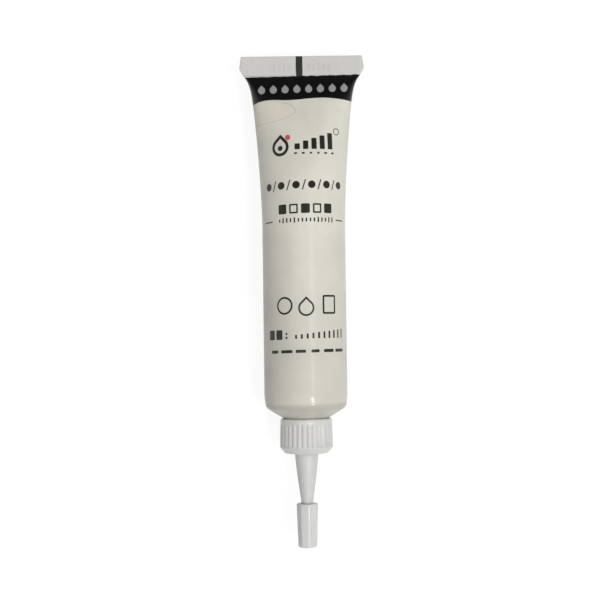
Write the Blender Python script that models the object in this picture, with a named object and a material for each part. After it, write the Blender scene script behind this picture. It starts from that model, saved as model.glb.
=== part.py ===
"""A squeeze tube of paint, lying on its back.

A soft sleeve is sealed flat at one end and closed at the other by a moulded head with a
threaded neck. A nozzle with a ribbed collar and a long tapered spout screws onto the neck,
and a small eight-sided cap plugs the spout's tip.

Metres, +Z up. The tube's axis runs along Y, the sealed end towards +Y and the cap towards -Y.
The origin is on the table, under the middle of the tube's length. A station is a distance along
the axis from the sealed end.
"""

import math

import bmesh
import bpy

# Sleeve
TUBE_DIAMETER = 0.022
FILM = 0.00045  # wall of the sleeve
SLEEVE_LENGTH = 0.092388  # sealed end to the start of the rounded shoulder edge
EDGE_RADIUS = 0.0018  # rounding of the shoulder edge, outside
SEAL_LENGTH = 0.0052
SEAL_FLARE = 0.0011  # how far the pressed seal spreads past the film on each side
TAPER_LENGTH = 0.041  # from the seal to the round body
SEAL_EASE = 0.0022  # length in which the seal's spread dies away
FLATNESS_EASE = 0.003  # length in which the flat section turns round
HOLLOW_SETBACK = 0.001  # from the seal to where the film's two layers part
SETTLING = 0.0003  # how far the soft underside gives way to the table
DRAWING_IN = 0.00025  # how much the film's radius shrinks onto the head's skirt

# Head
SHOULDER_ANGLE = math.radians(32)  # rise of the shoulder from the plane across the axis
SEAT_LEDGE = 0.00035  # flat seat outside the collar's bore
HEAD_WALL = 0.0012
SKIRT_LENGTH = 0.003
SKIRT_WALL = 0.0009
NECK_RADIUS = 0.005
NECK_BORE_RADIUS = 0.0032
NECK_LENGTH = 0.0074
NECK_CHAMFER = 0.0004

# Nozzle
THREAD_ROOM = 0.00065  # from the neck to the collar's bore, where both threads are
COLLAR_WALL = 0.001  # from the bore to the ribs' roots
COLLAR_END_WALL = 0.0015
RIB_COUNT = 30
RIB_DEPTH = 0.00035
RIB_RUNOUT = 0.0003
RIB_TURN = math.radians(4.7)  # turn of the first groove from +X
RIM_BAND = 0.0012  # plain band at the collar's open end
RIM_ROUNDING = 0.0006
RIM_FACE = 0.0003  # flat width of the rim
COLLAR_DRAFT = 0.00015  # how much smaller the collar's radius is at its rim
FOOT_BAND = 0.0005  # plain band between the ribs and the chamfer
CHAMFER_LENGTH = 0.0015
CHAMFER_DEPTH = 0.0013
SPOUT_LENGTH = 0.0225
SPOUT_TAPER_LENGTH = 0.0125
SPOUT_ROOT_RADIUS = 0.0031
SPOUT_TIP_RADIUS = 0.0016
SPOUT_WALL = 0.0008
SPOUT_FILLET = 0.0004

# Tip cap
CAP_SIDES = 8
CAP_COVER = 0.0092  # length of spout inside the cap
CAP_WALL = 0.0008
CAP_END_WALL = 0.002
CAP_EDGE = 0.0005
CAP_DRAFT = 0.00033  # how much nearer the axis the flats are at the cap's closed end
CAP_TURN = math.radians(8.2)  # turn of a corner from straight up
PIN_LENGTH = 0.0015

# Paint
PAINT_SETBACK = 0.001  # bare length at the start of the hollow

FIT_GAP = 0.0003  # between pieces that touch

# Fineness of the facets
SLEEVE_SIDES = 56
HEAD_SIDES = 48
POINTS_PER_RIB = 3
POINTS_PER_CAP_SIDE = 4
SPOUT_PAINT_SIDES = 24
TAPER_STEPS = 13
SPOUT_STEPS = 5
EDGE_STEPS = 3
DRAWING_STEPS = 3

# Shapes of the curves, as shares and powers
SEAL_OUTLINE = ((0.0, 0.56), (0.33, 0.8), (0.63, 1.0), (1.0, 0.0))  # length, flare
WIDTH_FADE_SHARE = 0.64  # share of the extra width that fades along the whole taper
WIDTH_FADE_POWER = 1.6
THICKNESS_POWER = 0.85
SEAL_FLATNESS = 11.0
SPOUT_TAPER_POWER = 1.25

# What follows from the sizes above
RADIUS = TUBE_DIAMETER / 2
AXIS_HEIGHT = RADIUS - SETTLING
FLAT_HALF_WIDTH = RADIUS * math.sqrt(2)
TAPER_END = SEAL_LENGTH + TAPER_LENGTH
HOLLOW_START = SEAL_LENGTH + HOLLOW_SETBACK
EDGE_TURN = math.pi / 2 - SHOULDER_ANGLE
EDGE_CENTRE = RADIUS - DRAWING_IN - EDGE_RADIUS
SHOULDER_RADIUS = EDGE_CENTRE + EDGE_RADIUS * math.cos(EDGE_TURN)
SHOULDER_START = SLEEVE_LENGTH + EDGE_RADIUS * math.sin(EDGE_TURN)
SKIRT_RADIUS = RADIUS - FILM - FIT_GAP - SETTLING
HEAD_EDGE_RADIUS = max(0.00005, SKIRT_RADIUS - EDGE_CENTRE)
SKIRT_START = SLEEVE_LENGTH - SKIRT_LENGTH
SKIRT_BORE_RADIUS = SKIRT_RADIUS - SKIRT_WALL
COLLAR_BORE_RADIUS = NECK_RADIUS + THREAD_ROOM
COLLAR_RADIUS = COLLAR_BORE_RADIUS + COLLAR_WALL + RIB_DEPTH
SEAT_RADIUS = COLLAR_BORE_RADIUS + SEAT_LEDGE


def shoulder_station(radius, depth=0.0):
    """Where the shoulder's cone, or the cone a depth below it, has the given radius."""
    rise = (SHOULDER_RADIUS - radius) * math.tan(SHOULDER_ANGLE)
    return SHOULDER_START + rise - depth / math.cos(SHOULDER_ANGLE)


SEAT = shoulder_station(SEAT_RADIUS)
NECK_END = SEAT + NECK_LENGTH
RIM = SEAT + FIT_GAP
COLLAR_CEILING = NECK_END + FIT_GAP
COLLAR_END = COLLAR_CEILING + COLLAR_END_WALL
SPOUT_TIP = COLLAR_END + SPOUT_LENGTH
CAP_MOUTH = SPOUT_TIP - CAP_COVER
CAP_FLOOR = SPOUT_TIP + FIT_GAP
CAP_END = CAP_FLOOR + CAP_END_WALL
PIN_TIP = CAP_FLOOR - PIN_LENGTH


# ---- Outlines ----


def between(table, place):
    """Straight-line value at a place in a table of (place, value) pairs."""
    for (low, low_value), (high, high_value) in zip(table, table[1:]):
        if place <= high:
            return low_value + (high_value - low_value) * (place - low) / (high - low)
    return table[-1][1]


def drawn_in(station):
    """How far the film is drawn in at a station: not at all before the skirt, fully at its end."""
    share = min(1.0, max(0.0, (station - SKIRT_START) / SKIRT_LENGTH))
    return DRAWING_IN * share**2


def sleeve_half_width(station):
    """The seal spreads a little; below it the width eases from the flat film to the tube."""
    if station <= SEAL_LENGTH:
        return FLAT_HALF_WIDTH + SEAL_FLARE * between(SEAL_OUTLINE, station / SEAL_LENGTH)
    past = station - SEAL_LENGTH
    left = max(0.0, 1 - past / TAPER_LENGTH)
    slow = WIDTH_FADE_SHARE * left**WIDTH_FADE_POWER
    quick = (1 - WIDTH_FADE_SHARE) * math.exp(-past / SEAL_EASE)
    return RADIUS + (FLAT_HALF_WIDTH - RADIUS) * (slow + quick) - drawn_in(station)


def sleeve_half_thickness(station):
    """Two layers of film at the seal, then a wedge that swells to the tube's radius."""
    share = min(1.0, max(0.0, station - SEAL_LENGTH) / TAPER_LENGTH)
    swell = math.sin(math.pi / 2 * share**THICKNESS_POWER)
    return FILM + (RADIUS - FILM) * swell - drawn_in(station)


def sleeve_ring(station, inset, sides, radius=None):
    """One cross-section of the sleeve, drawn in by inset, with its underside flat on the table.

    The section is an ellipse whose top and bottom are pressed flat near the seal. Past the
    sleeve's straight length a radius takes the place of the half width and thickness.
    """
    half_width = (radius or sleeve_half_width(station)) - inset
    half_thickness = (radius or sleeve_half_thickness(station)) - inset
    past = max(0.0, station - SEAL_LENGTH)
    power = 1 + SEAL_FLATNESS * math.exp(-past / FLATNESS_EASE)
    ring = []
    for index in range(sides):
        angle = 2 * math.pi * index / sides
        height = abs(math.sin(angle))
        if station > SEAL_LENGTH:
            height = 1 - (1 - height) ** power
        elif height > 1e-6:
            height = 1.0
        z = math.copysign(half_thickness * height, math.sin(angle))
        z = max(z, inset - AXIS_HEIGHT)
        ring.append((half_width * math.cos(angle), station, z))
    return ring


def round_ring(radius, station, sides):
    """A circle across the axis, starting at +X as the sleeve's rings do."""
    turn = 2 * math.pi / sides
    return [
        (radius * math.cos(turn * index), station, radius * math.sin(turn * index))
        for index in range(sides)
    ]


def spout_radius(station):
    """The spout swells out a little between its root and its straight tip."""
    share = min(1.0, max(0.0, station - COLLAR_END) / SPOUT_TAPER_LENGTH)
    return SPOUT_ROOT_RADIUS - (SPOUT_ROOT_RADIUS - SPOUT_TIP_RADIUS) * share**SPOUT_TAPER_POWER


def spout_stations(start, end):
    """The evenly spaced stations of the spout's taper that lie between two others."""
    step = SPOUT_TAPER_LENGTH / SPOUT_STEPS
    stations = [COLLAR_END + step * (index + 1) for index in range(SPOUT_STEPS)]
    return [station for station in stations if start < station < end]


def taper_stations(start):
    """Stations from start to the skirt, closest near the seal where the sleeve changes most."""
    shares = [(index / TAPER_STEPS) ** 1.5 for index in range(TAPER_STEPS + 1)]
    return [start + (TAPER_END - start) * share for share in shares]


def skirt_stations():
    """The stations over the skirt, where the film is drawn in."""
    return [SKIRT_START + SKIRT_LENGTH * step / DRAWING_STEPS for step in range(DRAWING_STEPS + 1)]


# ---- Making objects ----


def plain_material(name, colour, roughness):
    material = bpy.data.materials.new(name)
    material.use_nodes = True
    shader = material.node_tree.nodes["Principled BSDF"]
    shader.inputs["Base Color"].default_value = (*colour, 1.0)
    shader.inputs["Roughness"].default_value = roughness
    shader.inputs["Metallic"].default_value = 0.0
    return material


def add_object(name, bm, origin, parent, material):
    """Turn bm into an object whose origin is on the axis at the station called origin."""
    bmesh.ops.recalc_face_normals(bm, faces=bm.faces)
    mesh = bpy.data.meshes.new(name)
    bm.to_mesh(mesh)
    bm.free()
    mesh.shade_smooth()
    mesh.set_sharp_from_angle(angle=math.radians(35))
    mesh.materials.append(material)
    made = bpy.data.objects.new(name, mesh)
    bpy.context.collection.objects.link(made)
    place_on_axis(made, origin, parent)
    return made


def place_on_axis(made, origin, parent):
    """Put an object at a station of the axis, and hang it from its parent."""
    made["station"] = origin
    if parent is None:
        made.location = (0.0, CAP_END / 2 - origin, AXIS_HEIGHT)
    else:
        made.parent = parent
        made.location = (0.0, parent["station"] - origin, 0.0)


def loft(rings, origin, ends_capped=True):
    """Skin each ring to the next with quads. The ends get a flat cap, or meet to close a tube."""
    bm = bmesh.new()
    loops = [
        [bm.verts.new((x, origin - station, z)) for x, station, z in ring] for ring in rings
    ]
    pairs = list(zip(loops, loops[1:]))
    if not ends_capped:
        pairs.append((loops[-1], loops[0]))
    for near, far in pairs:
        for index in range(len(near)):
            bm.faces.new((near[index - 1], near[index], far[index], far[index - 1]))
    if ends_capped:
        bm.faces.new(loops[0])
        bm.faces.new(loops[-1])
    return bm


def turn(profile, origin, sides):
    """Spin a closed profile of (radius, station) corners about the axis."""
    bm = bmesh.new()
    verts = [bm.verts.new((radius, origin - station, 0.0)) for radius, station in profile]
    edges = [bm.edges.new(pair) for pair in zip(verts, verts[1:] + verts[:1])]
    bmesh.ops.spin(
        bm,
        geom=verts + edges,
        cent=(0.0, 0.0, 0.0),
        axis=(0.0, 1.0, 0.0),
        angle=2 * math.pi,
        steps=sides,
        use_merge=True,
    )
    return bm


# ---- Pieces ----


def make_sleeve():
    """A film shell: up the outside, over the shoulder edge, and back down the inside."""

    def edge_rings(film):
        radius = EDGE_RADIUS - film
        rings = []
        for step in range(1, EDGE_STEPS + 1):
            angle = EDGE_TURN * step / EDGE_STEPS
            station = SLEEVE_LENGTH + radius * math.sin(angle)
            across = EDGE_CENTRE + radius * math.cos(angle)
            rings.append(sleeve_ring(station, film, SLEEVE_SIDES, across + film))
        return rings

    seal = [share * SEAL_LENGTH for share, _ in SEAL_OUTLINE]
    outside = seal + taper_stations(SEAL_LENGTH)[1:] + skirt_stations()
    inside = taper_stations(HOLLOW_START) + skirt_stations()
    rings = [sleeve_ring(station, 0.0, SLEEVE_SIDES) for station in outside]
    rings += edge_rings(0.0)
    rings += reversed(edge_rings(FILM))
    rings += [sleeve_ring(station, FILM, SLEEVE_SIDES) for station in reversed(inside)]
    material = plain_material("sleeve_plastic", (0.66, 0.65, 0.58), 0.42)
    return add_object("sleeve", loft(rings, 0.0), 0.0, None, material)


def head_profile():
    """The head in section: skirt, edge under the film, cone, seat, neck, and its inside."""
    along = (-math.cos(SHOULDER_ANGLE), math.sin(SHOULDER_ANGLE))
    edge = [(SKIRT_RADIUS, SKIRT_START)]
    for step in range(EDGE_STEPS + 1):
        angle = EDGE_TURN * step / EDGE_STEPS
        across = SKIRT_RADIUS - HEAD_EDGE_RADIUS * (1 - math.cos(angle))
        edge.append((across, SLEEVE_LENGTH + HEAD_EDGE_RADIUS * math.sin(angle)))
    radius, station = edge[-1]
    step_foot = (radius + FIT_GAP * along[0], station + FIT_GAP * along[1])
    step_top = (SHOULDER_RADIUS + FIT_GAP * along[0], SHOULDER_START + FIT_GAP * along[1])
    neck = [
        (SEAT_RADIUS, SEAT),
        (NECK_RADIUS, SEAT),
        (NECK_RADIUS, NECK_END - NECK_CHAMFER),
        (NECK_RADIUS - NECK_CHAMFER, NECK_END),
        (NECK_BORE_RADIUS, NECK_END),
    ]
    inside = [
        (NECK_BORE_RADIUS, shoulder_station(NECK_BORE_RADIUS, HEAD_WALL)),
        (SKIRT_BORE_RADIUS, shoulder_station(SKIRT_BORE_RADIUS, HEAD_WALL)),
        (SKIRT_BORE_RADIUS, SKIRT_START),
    ]
    return edge + [step_foot, step_top] + neck + inside


def make_shoulder_head(sleeve):
    material = plain_material("head_plastic", (0.42, 0.41, 0.34), 0.38)
    bm = turn(head_profile(), SEAT, HEAD_SIDES)
    return add_object("shoulder_head", bm, SEAT, sleeve, material)


def make_paint_fill(sleeve):
    """The paint fills the sleeve, the cone and the neck, a gap clear of their walls."""
    start = HOLLOW_START + PAINT_SETBACK
    inset = FILM + FIT_GAP
    stations = taper_stations(start) + [SKIRT_START - FIT_GAP]
    rings = [sleeve_ring(station, inset, HEAD_SIDES) for station in stations]
    wide = SKIRT_BORE_RADIUS - FIT_GAP
    narrow = NECK_BORE_RADIUS - FIT_GAP
    depth = HEAD_WALL + FIT_GAP
    rings += [
        round_ring(wide, SKIRT_START - FIT_GAP, HEAD_SIDES),
        round_ring(wide, shoulder_station(wide, depth), HEAD_SIDES),
        round_ring(narrow, shoulder_station(narrow, depth), HEAD_SIDES),
        round_ring(narrow, NECK_END, HEAD_SIDES),
    ]
    material = plain_material("paint", (0.75, 0.71, 0.6), 0.5)
    return add_object("paint_fill", loft(rings, start), start, sleeve, material)


def ribbed_ring(radius, station, depth):
    """A circle of the collar with a groove of the given depth between each two ribs."""
    sides = RIB_COUNT * POINTS_PER_RIB
    ring = []
    for index in range(sides):
        angle = RIB_TURN + 2 * math.pi * index / sides
        reach = radius - (depth if index % POINTS_PER_RIB == 0 else 0.0)
        ring.append((reach * math.cos(angle), station, reach * math.sin(angle)))
    return ring


def collar_radius(station):
    """The collar narrows a little from its chamfer to its rim."""
    wide = COLLAR_END - CHAMFER_LENGTH
    return COLLAR_RADIUS - COLLAR_DRAFT * (wide - station) / (wide - RIM)


def nozzle_profile():
    """(radius, station, rib depth): rim, ribs, chamfer, spout, tip, and back down the bore."""
    rim_face = COLLAR_BORE_RADIUS + RIM_FACE
    rib_start = RIM + RIM_BAND
    rib_end = COLLAR_END - CHAMFER_LENGTH - FOOT_BAND
    rows = [(COLLAR_BORE_RADIUS, RIM, 0.0)]
    for step in range(EDGE_STEPS + 1):
        angle = math.pi / 2 * step / EDGE_STEPS
        across = rim_face + (collar_radius(RIM) - rim_face) * math.sin(angle)
        rows.append((across, RIM + RIM_ROUNDING * (1 - math.cos(angle)), 0.0))
    rows += [
        (collar_radius(rib_start), rib_start, 0.0),
        (collar_radius(rib_start + RIB_RUNOUT), rib_start + RIB_RUNOUT, RIB_DEPTH),
        (collar_radius(rib_end - RIB_RUNOUT), rib_end - RIB_RUNOUT, RIB_DEPTH),
        (collar_radius(rib_end), rib_end, 0.0),
        (COLLAR_RADIUS, COLLAR_END - CHAMFER_LENGTH, 0.0),
        (COLLAR_RADIUS - CHAMFER_DEPTH, COLLAR_END, 0.0),
        (spout_radius(COLLAR_END) + SPOUT_FILLET, COLLAR_END, 0.0),
        (spout_radius(COLLAR_END + SPOUT_FILLET), COLLAR_END + SPOUT_FILLET, 0.0),
    ]
    stations = spout_stations(COLLAR_END + SPOUT_FILLET, SPOUT_TIP)
    rows += [(spout_radius(station), station, 0.0) for station in stations]
    rows += [(spout_radius(SPOUT_TIP), SPOUT_TIP, 0.0)]
    bore = [SPOUT_TIP] + stations[::-1] + [COLLAR_END, COLLAR_CEILING]
    rows += [(spout_radius(station) - SPOUT_WALL, station, 0.0) for station in bore]
    rows += [(COLLAR_BORE_RADIUS, COLLAR_CEILING, 0.0)]
    return rows


def make_nozzle(axis):
    rings = [ribbed_ring(*row) for row in nozzle_profile()]
    material = plain_material("nozzle_plastic", (0.68, 0.68, 0.66), 0.3)
    return add_object("nozzle", loft(rings, RIM, ends_capped=False), RIM, axis, material)


def make_spout_paint(axis):
    """The paint that stands in the spout, from the neck's mouth to the cap's pin."""
    end = PIN_TIP - FIT_GAP
    stations = [COLLAR_CEILING, COLLAR_END] + spout_stations(COLLAR_END, end) + [end]
    rings = [
        round_ring(spout_radius(station) - SPOUT_WALL - FIT_GAP, station, SPOUT_PAINT_SIDES)
        for station in stations
    ]
    material = plain_material("paint_in_spout", (0.75, 0.71, 0.6), 0.5)
    bm = loft(rings, COLLAR_CEILING)
    return add_object("spout_paint", bm, COLLAR_CEILING, axis, material)


def make_tip_cap(nozzle):
    """Eight flats outside, a socket that follows the spout inside, and a pin in its floor."""
    sides = CAP_SIDES * POINTS_PER_CAP_SIDE
    flat_turn = 2 * math.pi / CAP_SIDES
    apothem = spout_radius(CAP_MOUTH) + FIT_GAP + CAP_WALL

    def ring(station, radius, flats):
        points = []
        for index in range(sides):
            along = 2 * math.pi * index / sides
            reach = radius
            if flats:
                reach = radius / math.cos(along % flat_turn - flat_turn / 2)
            angle = math.pi / 2 - CAP_TURN - along
            points.append((reach * math.cos(angle), station, reach * math.sin(angle)))
        return points

    pin_radius = spout_radius(SPOUT_TIP) - SPOUT_WALL - FIT_GAP
    socket = [CAP_MOUTH] + spout_stations(CAP_MOUTH, CAP_FLOOR) + [CAP_FLOOR]
    rings = [
        ring(CAP_END, apothem - CAP_DRAFT - CAP_EDGE, True),
        ring(CAP_END - CAP_EDGE, apothem - CAP_DRAFT, True),
        ring(CAP_MOUTH, apothem, True),
    ]
    rings += [ring(station, spout_radius(station) + FIT_GAP, False) for station in socket]
    rings += [ring(CAP_FLOOR, pin_radius, False), ring(PIN_TIP, pin_radius, False)]
    material = plain_material("cap_plastic", (0.68, 0.68, 0.66), 0.32)
    return add_object("tip_cap", loft(rings, CAP_MOUTH), CAP_MOUTH, nozzle, material)


def make_nozzle_axis(sleeve):
    """The empty that marks the axis on which the nozzle screws off the neck."""
    axis = bpy.data.objects.new("nozzle_axis", None)
    bpy.context.collection.objects.link(axis)
    place_on_axis(axis, SEAT, sleeve)
    return axis


def main():
    for old in list(bpy.data.objects):
        bpy.data.objects.remove(old, do_unlink=True)
    sleeve = make_sleeve()
    make_shoulder_head(sleeve)
    make_paint_fill(sleeve)
    axis = make_nozzle_axis(sleeve)
    make_spout_paint(axis)
    nozzle = make_nozzle(axis)
    make_tip_cap(nozzle)


main()
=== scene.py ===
"""The looks of a squeeze tube of paint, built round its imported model.

Metres, +Z up. The tube's axis runs along Y, the sealed end towards +Y. A station is a distance
along the axis from the sealed end. A turn is an angle about the axis, from +X towards +Z.
Prints are placed on the film in millimetres: across from the middle of the front, and along
from the sealed end.
"""

import math

import bpy
import numpy as np
from bpy.props import FloatProperty, FloatVectorProperty, IntProperty, PointerProperty
from mathutils import Matrix, Vector


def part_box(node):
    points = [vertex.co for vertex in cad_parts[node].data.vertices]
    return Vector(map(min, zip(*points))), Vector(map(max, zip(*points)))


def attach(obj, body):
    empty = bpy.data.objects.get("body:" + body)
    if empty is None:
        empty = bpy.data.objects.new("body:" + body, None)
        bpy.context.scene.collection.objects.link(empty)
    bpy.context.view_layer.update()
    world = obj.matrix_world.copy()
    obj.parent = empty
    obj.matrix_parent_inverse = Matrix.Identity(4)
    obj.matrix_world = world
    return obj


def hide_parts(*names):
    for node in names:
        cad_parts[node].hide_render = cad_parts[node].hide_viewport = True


bl_info = {
    "name": "Paint Tube",
    "version": (1, 0, 0),
    "blender": (4, 5, 0),
    "location": "3D View > Sidebar > Paint Tube",
    "description": "Builds the sleeve, head, nozzle, cap and paint of a squeeze tube of paint",
    "category": "Object",
}

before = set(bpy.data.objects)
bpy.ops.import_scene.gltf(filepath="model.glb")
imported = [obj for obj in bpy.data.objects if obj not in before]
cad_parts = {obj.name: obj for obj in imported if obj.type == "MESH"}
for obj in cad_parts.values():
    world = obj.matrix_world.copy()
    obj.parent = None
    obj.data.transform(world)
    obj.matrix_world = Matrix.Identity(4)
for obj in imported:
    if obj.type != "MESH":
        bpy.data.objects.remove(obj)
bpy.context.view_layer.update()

# ---- The frame's sizes ----

SLEEVE_LOW, SLEEVE_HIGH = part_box("sleeve")
HEAD_LOW, HEAD_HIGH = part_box("shoulder_head")
FILL_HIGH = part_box("paint_fill")[1]
NOZZLE_LOW, NOZZLE_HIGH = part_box("nozzle")
CHARGE_LOW, CHARGE_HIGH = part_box("spout_paint")
CAP_LOW, CAP_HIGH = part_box("tip_cap")

SEAL_END = SLEEVE_HIGH.y
AXIS_HEIGHT = (NOZZLE_LOW.z + NOZZLE_HIGH.z) / 2
TUBE_RADIUS = SLEEVE_HIGH.z - AXIS_HEIGHT
SHOULDER_START = SEAL_END - SLEEVE_LOW.y
SKIRT_RADIUS = HEAD_HIGH.x
SKIRT_START = SEAL_END - HEAD_HIGH.y
NECK_END = SEAL_END - HEAD_LOW.y
RIM = SEAL_END - NOZZLE_HIGH.y
SPOUT_TIP = SEAL_END - NOZZLE_LOW.y
COLLAR_RADIUS = NOZZLE_HIGH.x
CAP_MOUTH = SEAL_END - CAP_HIGH.y
CAP_END = SEAL_END - CAP_LOW.y
FILL_START = SEAL_END - FILL_HIGH.y
CHARGE_START = SEAL_END - CHARGE_HIGH.y
CHARGE_END = SEAL_END - CHARGE_LOW.y

FULL_TURN = 2 * math.pi
UNDERSIDE = -math.pi / 2  # every ring starts and ends under the tube
MILLIMETRE = 0.001
FITTED = 0.00003  # gap left between pieces that touch
SEAT_GAP = 0.0003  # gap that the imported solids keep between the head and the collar
STEP = 0.0001  # between the end of one stretch of a profile and the start of the next
CREASE = math.radians(40)  # edges sharper than this are shaded sharp


# ---- Settings ----


def length(name, text, default):
    return FloatProperty(
        name=name, description=text, default=default, unit="LENGTH", precision=5
    )


def angle(name, text, degrees):
    return FloatProperty(
        name=name, description=text, default=math.radians(degrees), unit="ROTATION"
    )


def share(name, text, default):
    return FloatProperty(
        name=name, description=text, default=default, min=0.0, max=1.0, subtype="FACTOR"
    )


def colour(name, text, default):
    return FloatVectorProperty(
        name=name, description=text, default=default, min=0.0, max=1.0, subtype="COLOR"
    )


class SleeveSettings(bpy.types.PropertyGroup):
    film: length("Film", "Wall of the sleeve", 0.00045)
    seal_length: length("Seal length", "Length pressed flat at the sealed end", 0.0052)
    seal_flare: length("Seal flare", "Spread of the pressed seal on each side", 0.0011)
    seal_ease: length("Seal ease", "Length in which the seal's spread dies away", 0.0022)
    flatness_ease: length("Flatness ease", "Length in which the flat section rounds", 0.003)
    hollow_setback: length("Hollow setback", "From the seal to where the layers part", 0.001)
    taper: length("Taper", "From the seal to the round body", 0.041)
    pucker: share("Pucker", "Share of the thickness lost in the puckers by the seal", 0.07)
    drawing_in: length("Drawing in", "Shrinkage of the film onto the head", 0.00025)
    drawing_length: length("Drawing length", "Length of the film drawn in", 0.003)
    edge_radius: length("Edge radius", "Rounding of the shoulder edge", 0.0018)
    ivory: colour("Ivory", "Film with the paint behind it", (0.69, 0.672, 0.6))
    seal_grey: colour("Seal grey", "Film pressed on film", (0.55, 0.55, 0.547))
    pocket_beige: colour("Pocket beige", "Film over the pocket of air", (0.7, 0.65, 0.56))
    # painted shade: the film is darkened towards the head, where the light falls off
    painted_shade_to_head: share("Deepening", "How much darker the film is by the head", 0.13)
    ink: colour("Ink", "Dark print", (0.011, 0.009, 0.006))
    band_ink: colour("Band ink", "Near-black band by the seal", (0.002, 0.0023, 0.003))
    red_ink: colour("Red ink", "Small red dot", (0.5, 0.035, 0.03))
    pale_print: colour("Pale print", "Figures left pale in the band", (0.36, 0.36, 0.36))


class HeadSettings(bpy.types.PropertyGroup):
    shoulder_angle: angle("Shoulder angle", "Rise of the cone", 32)
    skirt_wall: length("Skirt wall", "Wall of the skirt inside the sleeve", 0.0009)
    wall: length("Wall", "Wall of the cone", 0.0012)
    seat_radius: length("Seat radius", "Outside of the collar's flat seat", 0.006)
    neck_radius: length("Neck radius", "Neck at the root of its thread", 0.005)
    bore_radius: length("Bore radius", "Inside of the neck", 0.0032)
    neck_chamfer: length("Neck chamfer", "Bevel at the neck's mouth", 0.0004)
    pitch: length("Pitch", "Rise of the thread in one turn", 0.002)
    thread_depth: length("Thread depth", "Height of the thread", 0.00045)
    crest: length("Crest", "Flat width of the thread's crest", 0.0003)
    flank: length("Flank", "Width of each side of the thread", 0.00028)
    plastic: colour("Plastic", "Moulded head", (0.535, 0.522, 0.458))


class NozzleSettings(bpy.types.PropertyGroup):
    spout_length: length("Spout length", "From the collar's end to the tip", 0.0225)
    spout_taper: length("Spout taper", "Length in which the spout narrows", 0.0125)
    root_radius: length("Root radius", "Spout at the collar", 0.0031)
    tip_radius: length("Tip radius", "Spout at its tip", 0.0016)
    spout_wall: length("Spout wall", "Wall of the spout", 0.0008)
    end_wall: length("End wall", "Collar's closed end", 0.0015)
    bore_radius: length("Bore radius", "Collar at the root of its thread", 0.00565)
    thread_depth: length("Thread depth", "Height of the thread", 0.0005)
    ribs: IntProperty(name="Ribs", description="Grip ribs round the collar", default=30)
    rib_depth: length("Rib depth", "Depth of the grooves between the ribs", 0.00035)
    rib_turn: angle("Rib turn", "Turn of the first groove", 4.7)
    rim_band: length("Rim band", "Plain band at the open end", 0.0012)
    foot_band: length("Foot band", "Plain band above the chamfer", 0.0004)
    chamfer_length: length("Chamfer length", "Chamfer along the axis", 0.0015)
    chamfer_depth: length("Chamfer depth", "Chamfer across the axis", 0.0013)
    rounding: length("Rounding", "Rounding of the rim", 0.0006)
    fillet: length("Fillet", "Fillet at the spout's root", 0.0005)
    draft: length("Draft", "Narrowing of the collar towards its rim", 0.00015)
    plastic: colour("Plastic", "Moulded nozzle", (0.605, 0.605, 0.595))


class CapSettings(bpy.types.PropertyGroup):
    sides: IntProperty(name="Sides", description="Flats round the cap", default=8)
    apothem: length("Apothem", "From the axis to a flat, at the mouth", 0.0027)
    draft: length("Draft", "How much nearer the flats are at the closed end", 0.00033)
    turned: angle("Turned", "Turn of a corner from straight up", 8.2)
    edge: length("Edge", "Rounding of the closed end", 0.0005)
    lead_in: length("Lead-in", "Bevel inside the mouth", 0.0003)
    end_wall: length("End wall", "Thickness of the closed end", 0.002)
    pin: length("Pin", "Length of the pin that plugs the spout", 0.0015)
    plastic: colour("Plastic", "Moulded cap", (0.63, 0.63, 0.622))


class PaintSettings(bpy.types.PropertyGroup):
    sag: length("Sag", "Hollow of the paint's free surface", 0.0003)
    paint: colour("Paint", "Wet ivory paint", (0.77, 0.73, 0.62))


class StageSettings(bpy.types.PropertyGroup):
    camera_height: length("Camera height", "Camera above the tube's axis", 0.3)
    camera_along: length("Camera place", "Camera's place along Y", -0.015)
    aim_across: length("Aim across", "What the camera looks at, along X", -0.00132)
    aim_along: length("Aim along", "What the camera looks at, along Y", -0.0061)
    lens: FloatProperty(name="Lens", description="Focal length in millimetres", default=67.9)
    lens_shift: FloatProperty(name="Lens shift", description="Shift of the view", default=0.0387)
    roll: angle("Roll", "Turn of the camera about its line of sight", 0.75)
    key: FloatProperty(name="Key", description="Power of the key lamp in watts", default=1.25)
    fill: FloatProperty(name="Fill", description="Power of the soft lamp in watts", default=0.88)
    strip: FloatProperty(name="Strip", description="Power of the strip lamp in watts", default=0.42)
    ambient: FloatProperty(name="Ambient", description="Light from all round", default=0.6)
    glow: share("Glow", "Share of the floor's white that no shadow dims", 0.77)


# ---- Surfaces ----


def smooth(low, high, value):
    """0 below low and 1 above high, by 3t² − 2t³ in between."""
    part = np.clip((value - low) / (high - low), 0.0, 1.0)
    return part * part * (3 - 2 * part)


def line(start, end, count):
    """Points (radius, station) spread evenly from start to end, both kept."""
    return np.linspace(start, end, count)


def arc(centre, radius, start, end, count):
    """Points on a circle in the (radius, station) plane. Angles in degrees, 0 away from the
    axis and 90 towards higher stations."""
    turns = np.radians(np.linspace(start, end, count))
    return np.stack(
        (centre[0] + radius * np.cos(turns), centre[1] + radius * np.sin(turns)), axis=1
    )


def ring_turns(columns):
    """The turns of a ring's points. The first lies under the tube."""
    return UNDERSIDE + FULL_TURN * np.arange(columns) / columns


def bend(corner, before, after, soft):
    """A soft corner: a quadratic curve between the points soft before and after it."""
    part = np.linspace(0, 1, 6)[:, None]
    first, last = corner - soft * before, corner + soft * after
    return (1 - part) ** 2 * first + 2 * part * (1 - part) * corner + part**2 * last


def at_radius(profile, radius):
    """Which points of a profile lie at a radius, as a column."""
    return np.abs(profile[:, :1] - radius) < 1e-7


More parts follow.
